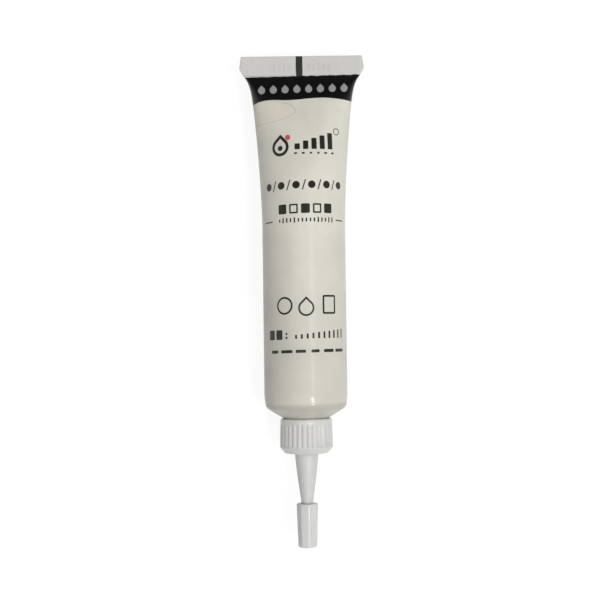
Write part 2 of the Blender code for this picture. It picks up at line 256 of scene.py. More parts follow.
def turned(profile, columns, added=0.0):
    """A profile carried round the axis: x = (r + added)·cos(turn), z = (r + added)·sin(turn)."""
    turns = ring_turns(columns)[None, :]
    reach = profile[:, :1] + added
    stations = np.broadcast_to(profile[:, 1:], np.broadcast_shapes(reach.shape, turns.shape))
    return np.stack((reach * np.cos(turns), stations, reach * np.sin(turns)), axis=-1)


def end_faces(ring):
    """Faces across one ring, from each point to its mirror image across the middle plane."""
    half = len(ring) // 2
    left = np.roll(ring[::-1], 1)
    strips = np.stack(
        (ring[1 : half - 1], left[1 : half - 1], left[2:half], ring[2:half]), axis=1
    )
    tips = [
        (ring[0], left[1], ring[1]),
        (ring[half - 1], left[half - 1], ring[half]),
    ]
    return [tuple(face) for face in strips.tolist()] + [tuple(map(int, tip)) for tip in tips]


def skin(name, grid, wrapped, film_map=None):
    """A closed mesh object from rows × columns of (x, station, z).

    Each row is joined to the next all round. Wrapped rows also join the last to the first, and
    otherwise faces close both ends. film_map gives a (u, v) for each corner of the grid.
    """
    rows, columns = grid.shape[:2]
    places = np.stack((grid[..., 0], SEAL_END - grid[..., 1], AXIS_HEIGHT + grid[..., 2]), axis=-1)
    index = np.arange(rows * columns).reshape(rows, columns)
    after = np.roll(index, -1, axis=0) if wrapped else index[1:]
    before = index if wrapped else index[:-1]
    quads = np.stack(
        (before, np.roll(before, -1, axis=1), np.roll(after, -1, axis=1), after), axis=-1
    ).reshape(-1, 4)
    faces = [tuple(face) for face in quads.tolist()]
    if not wrapped:
        faces += end_faces(index[0])
        faces += [face[::-1] for face in end_faces(index[-1])]
    mesh = bpy.data.meshes.new(name)
    mesh.from_pydata(places.reshape(-1, 3), [], faces)
    if film_map is not None:
        corners = np.zeros(len(mesh.loops), dtype=np.int32)
        mesh.loops.foreach_get("vertex_index", corners)
        row, column = corners // columns, corners % columns
        last_quad = np.tile(np.repeat(np.arange(columns) == columns - 1, 4), rows - 1)
        at_seam = np.zeros(len(corners), dtype=bool)
        at_seam[: len(last_quad)] = last_quad
        column = np.where(at_seam & (column == 0), columns, column)
        layer = mesh.uv_layers.new(name="film")
        layer.uv.foreach_set("vector", film_map[row, column].astype(np.float32).ravel())
    mesh.shade_smooth()
    mesh.set_sharp_from_angle(angle=CREASE)
    made = bpy.data.objects.new(name, mesh)
    bpy.context.scene.collection.objects.link(made)
    return made


def dress(made, node, body, material):
    """Gives a finished piece its material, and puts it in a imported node's place."""
    made.data.materials.append(material)
    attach(made, body)
    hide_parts(node)


# ---- Sleeve ----

SEAL_OUTLINE = ((0.0, 0.56), (0.33, 0.8), (0.63, 1.0), (1.0, 0.0))  # length, flare
WIDTH_FADE_SHARE = 0.64
WIDTH_FADE_POWER = 1.6
THICKNESS_POWER = 0.85
SEAL_FLATNESS = 11.0
PUCKER_WAVE = 0.0056
PUCKER_SHIFT = 0.9  # turn of the wave, one way in front and the other way behind
PUCKER_DRIFT = 1.7  # how unevenly the puckers are spread
PUCKER_DRIFT_WAVE = 0.0041
PUCKER_START = 0.002  # length in which they begin, past the seal
PUCKER_EASE = 0.006  # length in which they die away
LIP = 0.00012  # rounding of the film's cut end
ROW_CROWDING = 1.5  # the higher, the closer the rows are at the start of the taper
SLEEVE_COLUMNS = 288
SEAL_ROWS = 16
OUTSIDE_ROWS, INSIDE_ROWS = 110, 32  # on the taper
OUTER_EDGE_ROWS, INNER_EDGE_ROWS = 14, 6


def film_half_width(sizes, station):
    """Half the film's flat width plus its flare within the seal. Past it, the tube's radius plus
    0.64 of the excess fading as (1 − t)^1.6 along the taper and the rest as e^(−past/ease)."""
    flat = TUBE_RADIUS * math.sqrt(2)
    places, flares = zip(*SEAL_OUTLINE)
    flare = sizes.seal_flare * np.interp(station / sizes.seal_length, places, flares)
    past = np.maximum(station - sizes.seal_length, 0.0)
    left = np.clip(1 - past / sizes.taper, 0.0, 1.0)
    slow = WIDTH_FADE_SHARE * left**WIDTH_FADE_POWER
    quick = (1 - WIDTH_FADE_SHARE) * np.exp(-past / sizes.seal_ease)
    return TUBE_RADIUS + (flat - TUBE_RADIUS) * (slow + quick) + flare


def film_half_thickness(sizes, station):
    """The film's own thickness, plus a quarter sine wave of (past/taper)^0.85."""
    part = np.clip((station - sizes.seal_length) / sizes.taper, 0.0, 1.0)
    swell = np.sin(math.pi / 2 * part**THICKNESS_POWER)
    return sizes.film + (TUBE_RADIUS - sizes.film) * swell


def film_rings(sizes, station, half_width, half_thickness, inset):
    """Cross-sections of the film: x = a·cos(turn), and z = b·(1 − (1 − |sin(turn)|)^p).

    The power p falls from 12 at the seal to 1, which takes the section from a flat strip to a
    circle. Puckers, a cosine wave across the film, take a little off b near the seal. Nothing
    reaches below the table.
    """
    turns = ring_turns(SLEEVE_COLUMNS)[None, :]
    station, inset = station[:, None], inset[:, None]
    past = np.maximum(station - sizes.seal_length, 0.0)
    power = 1 + SEAL_FLATNESS * np.exp(-past / sizes.flatness_ease)
    rise = 1 - (1 - np.abs(np.sin(turns))) ** power
    x = (half_width[:, None] - inset) * np.cos(turns)
    side = np.sign(np.sin(turns))
    drift = side * PUCKER_SHIFT + PUCKER_DRIFT * np.sin(x / PUCKER_DRIFT_WAVE)
    wave = np.cos(FULL_TURN * x / PUCKER_WAVE + drift)
    fade = smooth(0.0, PUCKER_START, past) * np.exp(-past / PUCKER_EASE)
    kept = 1 - sizes.pucker * fade * (0.5 + 0.5 * wave)
    z = (half_thickness[:, None] * kept - inset) * rise * side
    z = np.maximum(z, inset - AXIS_HEIGHT)
    return np.stack((x, np.broadcast_to(station, x.shape), z), axis=-1)


def film_places(grid):
    """Where each corner lies on the film, in millimetres: across from the middle of the front,
    by its share of the distance round its ring, and along from the sealed end."""
    steps = np.linalg.norm(np.roll(grid, -1, axis=1)[..., ::2] - grid[..., ::2], axis=-1)
    walked = np.cumsum(steps, axis=1) / np.sum(steps, axis=1, keepdims=True)
    walked = np.concatenate((np.zeros((len(grid), 1)), walked), axis=1)
    across = math.pi * TUBE_RADIUS / MILLIMETRE * (1 - 2 * walked)
    along = np.broadcast_to(grid[:, :1, 1] / MILLIMETRE, across.shape)
    return np.stack((across, along), axis=-1)


def shoulder_edge(sleeve, slope):
    """Where the film starts to turn inwards, and the radius at which it meets the cone."""
    fall = math.pi / 2 - slope
    start = SHOULDER_START - sleeve.edge_radius * math.sin(fall)
    return start, TUBE_RADIUS - sleeve.drawing_in - sleeve.edge_radius * (1 - math.cos(fall))


def on_cone(lip_radius, slope, radius, depth=0.0):
    """A point of the cone at a radius, or the point that lies below it at a depth in the wall."""
    rise = (lip_radius - radius) * math.tan(slope)
    return (radius, SHOULDER_START + rise - depth / math.cos(slope))


def sleeve_grid(sizes, head):
    """Rows up the outside of the film, round the shoulder edge and back down the inside."""
    slope = head.shoulder_angle
    edge_start = shoulder_edge(sizes, slope)[0]
    taper_end = sizes.seal_length + sizes.taper
    drawn_from = edge_start - sizes.drawing_length

    def straight(first, count):
        taper = first + (taper_end - first) * np.linspace(0, 1, count) ** ROW_CROWDING
        body = np.linspace(taper_end, drawn_from, count // 3)[1:]
        drawn = np.linspace(drawn_from, edge_start, count // 4)[1:]
        return np.concatenate((taper, body, drawn))

    def part(station, inset):
        drawn = sizes.drawing_in * np.clip((station - drawn_from) / sizes.drawing_length, 0, 1) ** 2
        width = film_half_width(sizes, station) - drawn
        thickness = film_half_thickness(sizes, station) - drawn
        return film_rings(sizes, station, width, thickness, inset)

    def edge(inset, count):
        centre = (TUBE_RADIUS - sizes.drawing_in - sizes.edge_radius, edge_start)
        fall = 90 - math.degrees(slope)
        bow = arc(centre, sizes.edge_radius - inset, 0, fall, count)[1:]
        across = bow[:, 0] + inset
        return film_rings(sizes, bow[:, 1], across, across, np.full(count - 1, inset))

    lip_middle = LIP * 0.3
    cut_end = part(np.array([0.0, lip_middle, LIP]), np.array([LIP, lip_middle, 0.0]))
    seal = np.linspace(LIP, sizes.seal_length, SEAL_ROWS)[1:]
    outside = np.concatenate((seal, straight(sizes.seal_length, OUTSIDE_ROWS)[1:]))
    inside = straight(sizes.seal_length + sizes.hollow_setback, INSIDE_ROWS)[::-1]
    return np.concatenate(
        (
            cut_end,
            part(outside, np.zeros(len(outside))),
            edge(0.0, OUTER_EDGE_ROWS),
            edge(sizes.film, INNER_EDGE_ROWS)[::-1],
            part(inside, np.full(len(inside), sizes.film)),
        )
    )


# ---- Spout and threads ----

SPOUT_TAPER_POWER = 1.25


def spout_radius(nozzle, station):
    """Root radius less its excess over the tip's times (past/taper)^1.25."""
    past = np.clip((station - (SPOUT_TIP - nozzle.spout_length)) / nozzle.spout_taper, 0.0, 1.0)
    return nozzle.root_radius - (nozzle.root_radius - nozzle.tip_radius) * past**SPOUT_TAPER_POWER


def thread_height(station, turns, pitch, crest, flank, start, end, lead):
    """1 on the crest of a right-hand thread and 0 between its turns.

    The ridge follows station = pitch·(n + lead + turn/2π). Its sides are smooth steps, and it
    fades in and out over half a pitch at both ends.
    """
    phase = station / pitch - turns / FULL_TURN - lead
    off = np.abs(phase - np.round(phase)) * pitch
    ridge = 1 - smooth(crest / 2, crest / 2 + flank, off)
    ends = smooth(start, start + pitch / 2, station) * (1 - smooth(end - pitch / 2, end, station))
    return ridge * ends


# ---- Materials ----


class Tree:
    """Adds nodes to a node tree. A value may be a number, a tuple or another node's output."""

    def __init__(self, tree):
        self.tree = tree

    def add(self, kind, **settings):
        """A node of a kind, with its settings."""
        node = self.tree.nodes.new(kind)
        for name, value in settings.items():
            setattr(node, name, value)
        return node

    def feed(self, socket, value):
        """Links an output to a socket, or sets the socket to a plain value."""
        if isinstance(value, bpy.types.NodeSocket):
            self.tree.links.new(value, socket)
        else:
            socket.default_value = value

    def fed(self, kind, values, **settings):
        """A node whose inputs, by name or number, take the values."""
        node = self.add(kind, **settings)
        for name, value in values.items():
            self.feed(node.inputs[name], value)
        return node

    def math(self, operation, *values):
        """One step of arithmetic on numbers."""
        node = self.fed("ShaderNodeMath", dict(enumerate(values)), operation=operation)
        return node.outputs[0]

    def vector(self, operation, *values):
        """One step of arithmetic on vectors."""
        node = self.fed("ShaderNodeVectorMath", dict(enumerate(values)), operation=operation)
        return node.outputs["Value" if operation == "LENGTH" else "Vector"]

    def split(self, vector):
        """The three numbers of a vector."""
        return self.fed("ShaderNodeSeparateXYZ", {0: vector}).outputs

    def step(self, value, low, high):
        """0 at low and 1 at high, smoothly."""
        values = {"Value": value, "From Min": low, "From Max": high}
        node = self.fed("ShaderNodeMapRange", values, interpolation_type="SMOOTHSTEP")
        return node.outputs[0]

    def blend(self, part, first, second):
        """The first colour where part is 0 and the second where it is 1."""
        values = {0: part, 6: first, 7: second}
        node = self.fed("ShaderNodeMix", values, data_type="RGBA")
        return node.outputs[2]

    def choose(self, part, first, second):
        """The first number where part is 0 and the second where it is 1."""
        values = {0: part, 2: first, 3: second}
        return self.fed("ShaderNodeMix", values, data_type="FLOAT").outputs[0]

    def noise(self, place, scale, detail=2.0, roughness=0.5):
        """Cloudy noise around 0.5."""
        values = {"Vector": place, "Scale": scale, "Detail": detail, "Roughness": roughness}
        return self.fed("ShaderNodeTexNoise", values).outputs[0]

    def group(self, group, values):
        """The outputs of a node group whose inputs take the values."""
        return self.fed("ShaderNodeGroup", values, node_tree=group).outputs


def new_group(name, inputs, outputs):
    """An empty shader node group with its sockets, and what its nodes read and write."""
    group = bpy.data.node_groups.new(name, "ShaderNodeTree")
    for label, kind in inputs:
        group.interface.new_socket(label, in_out="INPUT", socket_type="NodeSocket" + kind)
    for label, kind in outputs:
        group.interface.new_socket(label, in_out="OUTPUT", socket_type="NodeSocket" + kind)
    tree = Tree(group)
    given = tree.add("NodeGroupInput").outputs
    result = tree.add("NodeGroupOutput").inputs
    return group, tree, given, result


PRINT_SOFTNESS = 0.035  # half the width of a printed edge, in millimetres


def print_row_group():
    """A row of like printed figures: boxes with rounded corners, or drops.

    The row folds the film's place onto the nearest figure. A box's distance is
    |max(q, 0)| + min(max(q), 0) − corner, and a drop is a circle with a right-angled point. A
    line's thickness keeps the band just inside the outline, and a thick one fills the figure.
    """
    inputs = (
        ("Place", "Vector"),
        ("First", "Vector"),
        ("Half Size", "Vector"),
        ("Vary", "Vector"),
        ("Pitch", "Float"),
        ("Count", "Float"),
        ("Corner", "Float"),
        ("Slant", "Float"),
        ("Line", "Float"),
        ("Drop", "Float"),
        ("Grow", "Float"),
        ("Seed", "Float"),
    )
    group, tree, given, result = new_group("print_row", inputs, (("Mask", "Float"),))
    math_node = tree.math
    offset = tree.split(tree.vector("SUBTRACT", given["Place"], given["First"]))
    nearest = math_node("ROUND", math_node("DIVIDE", offset[0], given["Pitch"]))
    last = math_node("SUBTRACT", given["Count"], 1.0)
    number = math_node("MINIMUM", math_node("MAXIMUM", nearest, 0.0), last)
    grown = math_node("MULTIPLY", given["Grow"], number)
    up = math_node("ADD", offset[1], grown)
    across = math_node("SUBTRACT", offset[0], math_node("MULTIPLY", number, given["Pitch"]))
    across = math_node("ADD", across, math_node("MULTIPLY", given["Slant"], up))
    seeded = tree.fed("ShaderNodeCombineXYZ", {0: number, 1: given["Seed"]}).outputs[0]
    chance = tree.fed("ShaderNodeTexWhiteNoise", {"Vector": seeded}, noise_dimensions="2D")
    shrink = tree.vector("MULTIPLY", given["Vary"], chance.outputs["Color"])
    shrink = tree.vector("SUBTRACT", (1.0, 1.0, 1.0), shrink)
    size = tree.split(given["Half Size"])
    factor = tree.split(shrink)
    half_across = math_node("MULTIPLY", size[0], factor[0])
    half_along = math_node("MULTIPLY", math_node("ADD", size[1], grown), factor[1])
    wide = math_node("ABSOLUTE", across)
    tall = math_node("ABSOLUTE", up)
    over_x = math_node("ADD", math_node("SUBTRACT", wide, half_across), given["Corner"])
    over_y = math_node("ADD", math_node("SUBTRACT", tall, half_along), given["Corner"])
    beyond = tree.fed(
        "ShaderNodeCombineXYZ",
        {0: math_node("MAXIMUM", over_x, 0.0), 1: math_node("MAXIMUM", over_y, 0.0)},
    ).outputs[0]
    within = math_node("MINIMUM", math_node("MAXIMUM", over_x, over_y), 0.0)
    box = math_node("ADD", tree.vector("LENGTH", beyond), within)
    box = math_node("SUBTRACT", box, given["Corner"])
    local = tree.fed("ShaderNodeCombineXYZ", {0: across, 1: up}).outputs[0]
    circle = math_node("SUBTRACT", tree.vector("LENGTH", local), half_across)
    tip = math_node("MULTIPLY", math_node("SUBTRACT", wide, up), math.sqrt(0.5))
    tip = math_node("SUBTRACT", tip, half_across)
    in_tip = math_node("GREATER_THAN", math_node("MULTIPLY", up, -1.0), wide)
    distance = tree.choose(given["Drop"], box, tree.choose(in_tip, circle, tip))
    half_line = math_node("MULTIPLY", given["Line"], 0.5)
    inside = math_node("ABSOLUTE", math_node("ADD", distance, half_line))
    inside = math_node("SUBTRACT", inside, half_line)
    tree.feed(result["Mask"], tree.step(inside, PRINT_SOFTNESS, -PRINT_SOFTNESS))
    return group


PATCH_CUT = (0.35, 0.7)  # noise at which the patches begin and are full
RUB_CYCLES = (2600.0, 420.0, 2600.0)  # rubbed marks in a metre: they are long along the tube
RUB_CUT = (0.62, 0.8)
RUB_DULLING = 0.18  # roughness that a mark adds
RUB_DEPTH = 0.8  # in shares of the grain's height


def plastic_group():
    """How a plastic surface varies: soft patches of tone and gloss, a fine grain, and short
    rubbed marks. The patches are broad noise, the grain fine noise, and the marks noise
    stretched along the tube and cut off high."""
    inputs = (
        ("Place", "Vector"),
        ("Colour", "Color"),
        ("Patch Colour", "Color"),
        ("Patch Size", "Float"),
        ("Grain Size", "Float"),
        ("Roughness", "Float"),
        ("Roughness Drift", "Float"),
        ("Marks", "Float"),
    )
    outputs = (("Colour", "Color"), ("Roughness", "Float"), ("Height", "Float"))
    group, tree, given, result = new_group("plastic_surface", inputs, outputs)
    broad = tree.noise(given["Place"], tree.math("DIVIDE", 1.0, given["Patch Size"]), 3.0, 0.55)
    patches = tree.step(broad, *PATCH_CUT)
    grain = tree.noise(given["Place"], tree.math("DIVIDE", 1.0, given["Grain Size"]), 2.0, 0.6)
    drawn = tree.vector("MULTIPLY", given["Place"], RUB_CYCLES)
    rubbed = tree.step(tree.noise(drawn, 1.0, 4.0, 0.65), *RUB_CUT)
    rubbed = tree.math("MULTIPLY", rubbed, given["Marks"])
    tree.feed(result["Colour"], tree.blend(patches, given["Colour"], given["Patch Colour"]))
    drift = tree.math("MULTIPLY", given["Roughness Drift"], patches)
    rough = tree.math("ADD", given["Roughness"], drift)
    tree.feed(result["Roughness"], tree.math("MULTIPLY_ADD", rubbed, RUB_DULLING, rough))
    tree.feed(result["Height"], tree.math("MULTIPLY_ADD", rubbed, -RUB_DEPTH, grain))
    return group


def shared_group(name, make):
    """The node group of this name, made on its first use."""
    return bpy.data.node_groups.get(name) or make()


def new_material(name):
    """An empty material, its tree and its Principled shader."""
    material = bpy.data.materials.new(name)
    material.use_nodes = True
    tree = Tree(material.node_tree)
    return material, tree, material.node_tree.nodes["Principled BSDF"]


def rgba(tint, share=1.0):
    """A colour as the shaders take it, darkened to a share of itself."""
    return (*(share * value for value in tint), 1.0)


def object_place(tree):
    """A point's place on its object."""
    return tree.add("ShaderNodeTexCoord").outputs["Object"]


def set_constants(shader, **values):
    """Sets values that are the same all over a surface on the shader's own sockets."""
    for name, value in values.items():
        shader.inputs[name.replace("_", " ").title().replace("Ior", "IOR")].default_value = value


def bump(tree, shader, height, depth):
    """Feeds a height, in shares of the depth in metres, to the shader's normal."""
    node = tree.fed("ShaderNodeBump", {"Height": height, "Distance": depth, "Strength": 1.0})
    tree.feed(shader.inputs["Normal"], node.outputs[0])


# ---- Prints, in millimetres across and along the film ----

FILLED = 9.0  # a stroke so thick that it fills its figure


def figures(
    first, half, pitch=1.0, count=1, corner=0.0, slant=0.0, stroke=FILLED, drop=0.0, grow=0.0,
    vary=(0.0, 0.0), seed=0.0,
):
    """A row of like figures, as the values that the print_row group takes.

    First is the middle of the first one, half is half its size, and pitch is the distance to the
    next. Grow is what each gains over the one before it, and vary the most that chance takes off.
    """
    return {
        "First": (*first, 0.0),
        "Half Size": (*half, 0.0),
        "Vary": (*vary, 0.0),
        "Pitch": pitch,
        "Count": count,
        "Corner": corner,
        "Slant": slant,
        "Line": stroke,
        "Drop": drop,
        "Grow": grow,
        "Seed": seed,
    }


DARK_PRINTS = {
    "top_drop": figures((-6.4, 25.6), (2.45, 2.45), stroke=0.8, drop=1.0),
    "top_core": figures((-6.4, 25.9), (0.7, 0.7), corner=0.7),
    "rising_bars": figures((-1.55, 25.66), (0.74, 0.8), 2.35, 5, corner=0.2, grow=0.35),
    "low_bars": figures((-2.0, 27.5), (0.5, 0.24), 2.1, 6, corner=0.1, vary=(0.4, 0.0), seed=2),
    "small_ring": figures((10.0, 21.6), (0.95, 0.95), corner=0.95, stroke=0.22),
    "dots": figures((-10.2, 35.9), (1.0, 1.0), 4.14, 6, corner=1.0),
    "slashes": figures((-8.13, 35.9), (0.16, 1.35), 4.14, 5, corner=0.1, slant=0.32),
    "full_swatches": figures((-5.75, 42.1), (1.15, 1.25), 6.2, 3, corner=0.3),
    "open_swatches": figures((-2.65, 42.1), (1.15, 1.25), 6.2, 2, corner=0.3, stroke=0.42),
    "ticks": figures((-6.6, 45.05), (0.2, 0.7), 1.04, 15, corner=0.05, vary=(0.0, 0.5), seed=3),
    "side_dashes": figures((-10.8, 45.05), (1.75, 0.16), 21.9, 2, corner=0.05),
    "big_ring": figures((-5.5, 66.95), (2.3, 2.3), corner=2.3, stroke=0.5),
    "big_drop": figures((0.35, 67.7), (2.1, 2.1), stroke=0.5, drop=1.0),
    "big_square": figures((6.7, 66.9), (2.0, 2.45), corner=0.45, stroke=0.5),
    "level_blocks": figures((-9.8, 74.4), (1.0, 1.25), 2.6, 2, corner=0.25),
    "upper_dot": figures((-5.0, 74.2), (0.3, 0.3), corner=0.3),
    "lower_dot": figures((-5.0, 75.2), (0.3, 0.3), corner=0.3),
    "level_scale": figures((-2.4, 75.05), (0.27, 0.5), 1.5, 10, corner=0.12, grow=0.075),
    "short_bars": figures((-8.8, 78.75), (1.75, 0.4), 3.8, 6, corner=0.2, vary=(0.55, 0.0), seed=7),
}
BAND_DROPS = figures((-12.0, 9.5), (1.05, 1.05), 3.5, 8, drop=1.0)
EYE_MARK = figures((-0.7, 2.0), (0.93, 4.0), corner=0.05)
RED_DOT = figures((-4.3, 23.1), (0.75, 0.75), corner=0.75)
SEAL_STAMPS = (
    figures((-7.6, 3.1), (0.35, 1.1), 1.4, 4, corner=0.1, vary=(0.3, 0.4), seed=1),
    figures((1.9, 3.1), (0.35, 1.1), 1.35, 5, corner=0.1, vary=(0.3, 0.4), seed=5),
)
PRINT_SKEW = 0.017  # the print runs a little askew to the tube
INK_COVER, INK_WEAR = 0.92, 0.07  # the ink's least cover, and what it gains where it isn't worn
MARK_COVER, RED_COVER, DROP_COVER = 0.95, 0.9, 0.85
BAND_TOP = (5.8, 5.92)  # where the band's upper edge begins and is full
BAND_WAVER = 0.85  # how far that edge wavers
BAND_FOOT = (12.46, 12.34)  # where its lower edge ends and is full
BAND_SWAY = 2.4  # how far that edge sways, from end to end
BAND_DIP, DEEPEST_DIP = 0.003, 0.6  # its fall at the sides, for the square of the way across

# ---- The film's tones ----

PAINTED_SHADE_SPAN = (36.0, 82.0)  # where painted shade darkens the film towards the head, standing in for the light falling off there
HEAD_SPAN = (91.95, 93.1)  # where the film comes to lie on the head, with no paint behind it
# the film takes the head's tone there, darkened by the second number as painted shade on the
# shoulder's rounding
HEAD_COVER, HEAD_PAINTED_SHADE = 0.85, 0.83
SEAL_SPAN = (5.9, 5.3)
SEAL_CLOUD = (0.625, 0.62, 0.61, 1.0)  # the seal's paler patches
STAMP_TONE = (0.42, 0.41, 0.4, 1.0)
STAMP_COVER = 0.22
STAMP_HEIGHT, INK_HEIGHT = -5.0, 0.9  # in shares of the bump's depth
INK_GLOSS = 0.06  # roughness that ink takes away
POCKET_MIDDLE = (-11.4, 15.7)
POCKET_HALF = (7.3, 2.4)
POCKET_TURN = math.radians(-3)
POCKET_EDGE = 1.25  # in shares of the pocket's half size
POCKET_LINE = 0.028
POCKET_COVER, OUTLINE_COVER = 0.5, 0.6
OUTLINE_TONE = (0.22, 0.19, 0.15, 1.0)


def printed(tree, place, row):
    """The mask of one row of printed figures."""
    group = shared_group("print_row", print_row_group)
    return tree.group(group, {"Place": place, **row})["Mask"]


def most(tree, masks):
    """The highest of several masks."""
    highest = masks[0]
    for mask in masks[1:]:
        highest = tree.math("MAXIMUM", highest, mask)
    return highest


def scaled(tree, mask, share):
    """A mask or a height times a number."""
    return tree.math("MULTIPLY", mask, share)


def film_plane(tree):
    """A place on the film in millimetres, turned a little with the print: a vector, and its
    numbers across and along."""
    across, level, _ = tree.split(tree.add("ShaderNodeUVMap", uv_map="film").outputs[0])
    along = tree.math("MULTIPLY_ADD", across, PRINT_SKEW, level)
    place = tree.fed("ShaderNodeCombineXYZ", {0: across, 1: along}).outputs[0]
    return place, across, along


def pocket_masks(tree, place):
    """Inside and outline of the pocket of air: an ellipse in the film's plane with a noisy edge."""
    values = {
        "Vector": place,
        "Location": (*POCKET_MIDDLE, 0.0),
        "Rotation": (0.0, 0.0, POCKET_TURN),
        "Scale": (*POCKET_HALF, 1.0),
    }
    local = tree.fed("ShaderNodeMapping", values, vector_type="TEXTURE").outputs[0]
    wander = tree.math("SUBTRACT", tree.noise(place, 0.28, 2.0), 0.5)
    reach = tree.math("MULTIPLY_ADD", wander, 0.5, tree.vector("LENGTH", local))
    inside = tree.step(reach, POCKET_EDGE + 0.05, POCKET_EDGE - 0.05)
    off = tree.math("ABSOLUTE", tree.math("SUBTRACT", reach, POCKET_EDGE))
    return inside, tree.step(off, POCKET_LINE, 0.0)


def band_masks(tree, place, across, along):
    """The dark band without its drops, and the drops.

    Noise roughens the upper edge. The lower edge sways slowly, and falls at the tube's sides by
    the dip times the square of the way across.
    """
    waver = scaled(tree, tree.noise(place, 0.55, 2.0), BAND_WAVER)
    top = tree.step(tree.math("ADD", along, waver), *BAND_TOP)
    sway = tree.math("MULTIPLY_ADD", tree.noise(place, 0.07, 0.0), BAND_SWAY, -BAND_SWAY / 2)
    fall = scaled(tree, tree.math("MULTIPLY", across, across), BAND_DIP)
    sway = tree.math("SUBTRACT", sway, tree.math("MINIMUM", fall, DEEPEST_DIP))
    foot = tree.step(tree.math("ADD", along, sway), *BAND_FOOT)
    drops = printed(tree, place, BAND_DROPS)
    around = tree.math("MULTIPLY_ADD", drops, -DROP_COVER, 1.0)
    band = tree.math("MULTIPLY", tree.math("MULTIPLY", top, foot), around)
    return band, tree.math("MULTIPLY", drops, top)


def bare_film(tree, sizes, head_plastic, own_tone, place, along):
    """The film's tone without prints: painted shade darkening it towards the head, beige over the
    pocket of air, and near the head's own tone where it lies on the head, with painted shade of the
    shoulder's rounding on that tone."""
    # painted shade: darkens the film towards the head
    deep = scaled(tree, tree.step(along, *PAINTED_SHADE_SPAN), sizes.painted_shade_to_head)
    tone = tree.blend(deep, own_tone, (0.0, 0.0, 0.0, 1.0))
    pocket, outline = pocket_masks(tree, place)
    tone = tree.blend(scaled(tree, pocket, POCKET_COVER), tone, rgba(sizes.pocket_beige))
    tone = tree.blend(scaled(tree, outline, OUTLINE_COVER), tone, OUTLINE_TONE)
    on_head = scaled(tree, tree.step(along, *HEAD_SPAN), HEAD_COVER)
    # the head's own tone, darkened as painted shade on the shoulder's rounding
    return tree.blend(on_head, tone, rgba(head_plastic, HEAD_PAINTED_SHADE))


def seal_tone(tree, sizes, place, stamps):
    """The seal's cloudy grey, a little darker in its pressed bars."""
    cloudy = tree.blend(tree.noise(place, 0.5, 3.0), rgba(sizes.seal_grey), SEAL_CLOUD)
    return tree.blend(scaled(tree, stamps, STAMP_COVER), cloudy, STAMP_TONE)


def film_material(sizes, head_plastic):
    """Satin film over ivory paint, with its band, prints, seal and pocket of air."""
    material, tree, shader = new_material("printed_film")
    place, across, along = film_plane(tree)
    surface = tree.group(
        shared_group("plastic_surface", plastic_group),
        {
            "Place": object_place(tree),
            "Colour": rgba(sizes.ivory),
            "Patch Colour": rgba(sizes.ivory, 0.93),
            "Patch Size": 0.011,
            "Grain Size": 0.00022,
            "Roughness": 0.4,
            "Roughness Drift": 0.07,
            "Marks": 0.5,
        },
    )
    stamps = most(tree, [printed(tree, place, row) for row in SEAL_STAMPS])
    tone = bare_film(tree, sizes, head_plastic, surface["Colour"], place, along)
    tone = tree.blend(tree.step(along, *SEAL_SPAN), tone, seal_tone(tree, sizes, place, stamps))

    dark = most(tree, [printed(tree, place, row) for row in DARK_PRINTS.values()])
    whole = tree.step(tree.noise(place, 4.0, 3.0, 0.7), 0.2, 0.5)
    dark = tree.math("MULTIPLY", dark, tree.math("MULTIPLY_ADD", whole, INK_WEAR, INK_COVER))
    red = scaled(tree, printed(tree, place, RED_DOT), RED_COVER)
    mark = scaled(tree, printed(tree, place, EYE_MARK), MARK_COVER)
    band, drops = band_masks(tree, place, across, along)
    tone = tree.blend(dark, tone, rgba(sizes.ink))
    tone = tree.blend(red, tone, rgba(sizes.red_ink))
    tone = tree.blend(drops, tone, rgba(sizes.pale_print))
    tone = tree.blend(most(tree, [band, mark]), tone, rgba(sizes.band_ink))
    tree.feed(shader.inputs["Base Color"], tone)

    inked = most(tree, [band, mark, dark])
    rough = tree.math("MULTIPLY_ADD", inked, -INK_GLOSS, surface["Roughness"])
    tree.feed(shader.inputs["Roughness"], rough)
    height = tree.math("MULTIPLY_ADD", stamps, STAMP_HEIGHT, surface["Height"])
    height = tree.math("MULTIPLY_ADD", inked, INK_HEIGHT, height)
    bump(tree, shader, height, 0.000006)
    set_constants(
        shader,
        ior=1.5,
        specular_ior_level=0.22,
        coat_weight=0.3,
        coat_roughness=0.125,
        coat_ior=1.45,
    )
    return material


def moulded_material(name, plastic, patch, roughness, subsurface, coat, polished=None):
    """Moulded plastic: patches of tone, fine grain, rubbed marks and a little depth. Where two
    places along Y are given as polished, the coat rises to its full weight between them."""
    material, tree, shader = new_material(name)
    place = object_place(tree)
    surface = tree.group(
        shared_group("plastic_surface", plastic_group),
        {
            "Place": place,
            "Colour": rgba(plastic),
            "Patch Colour": rgba(plastic, patch),
            "Patch Size": 0.004,
            "Grain Size": 0.00018,
            "Roughness": roughness,
            "Roughness Drift": 0.08,
            "Marks": 0.6,
        },
    )
    tree.feed(shader.inputs["Base Color"], surface["Colour"])
    tree.feed(shader.inputs["Roughness"], surface["Roughness"])
    bump(tree, shader, surface["Height"], 0.000004)
    if polished:
        polish = scaled(tree, tree.step(tree.split(place)[1], *polished), coat)
        tree.feed(shader.inputs["Coat Weight"], polish)
    else:
        set_constants(shader, coat_weight=coat)
    set_constants(
        shader,
        ior=1.51,
        subsurface_weight=subsurface,
        subsurface_scale=0.002,
        subsurface_radius=(1.0, 0.95, 0.85),
        coat_roughness=0.1,
    )
    return material


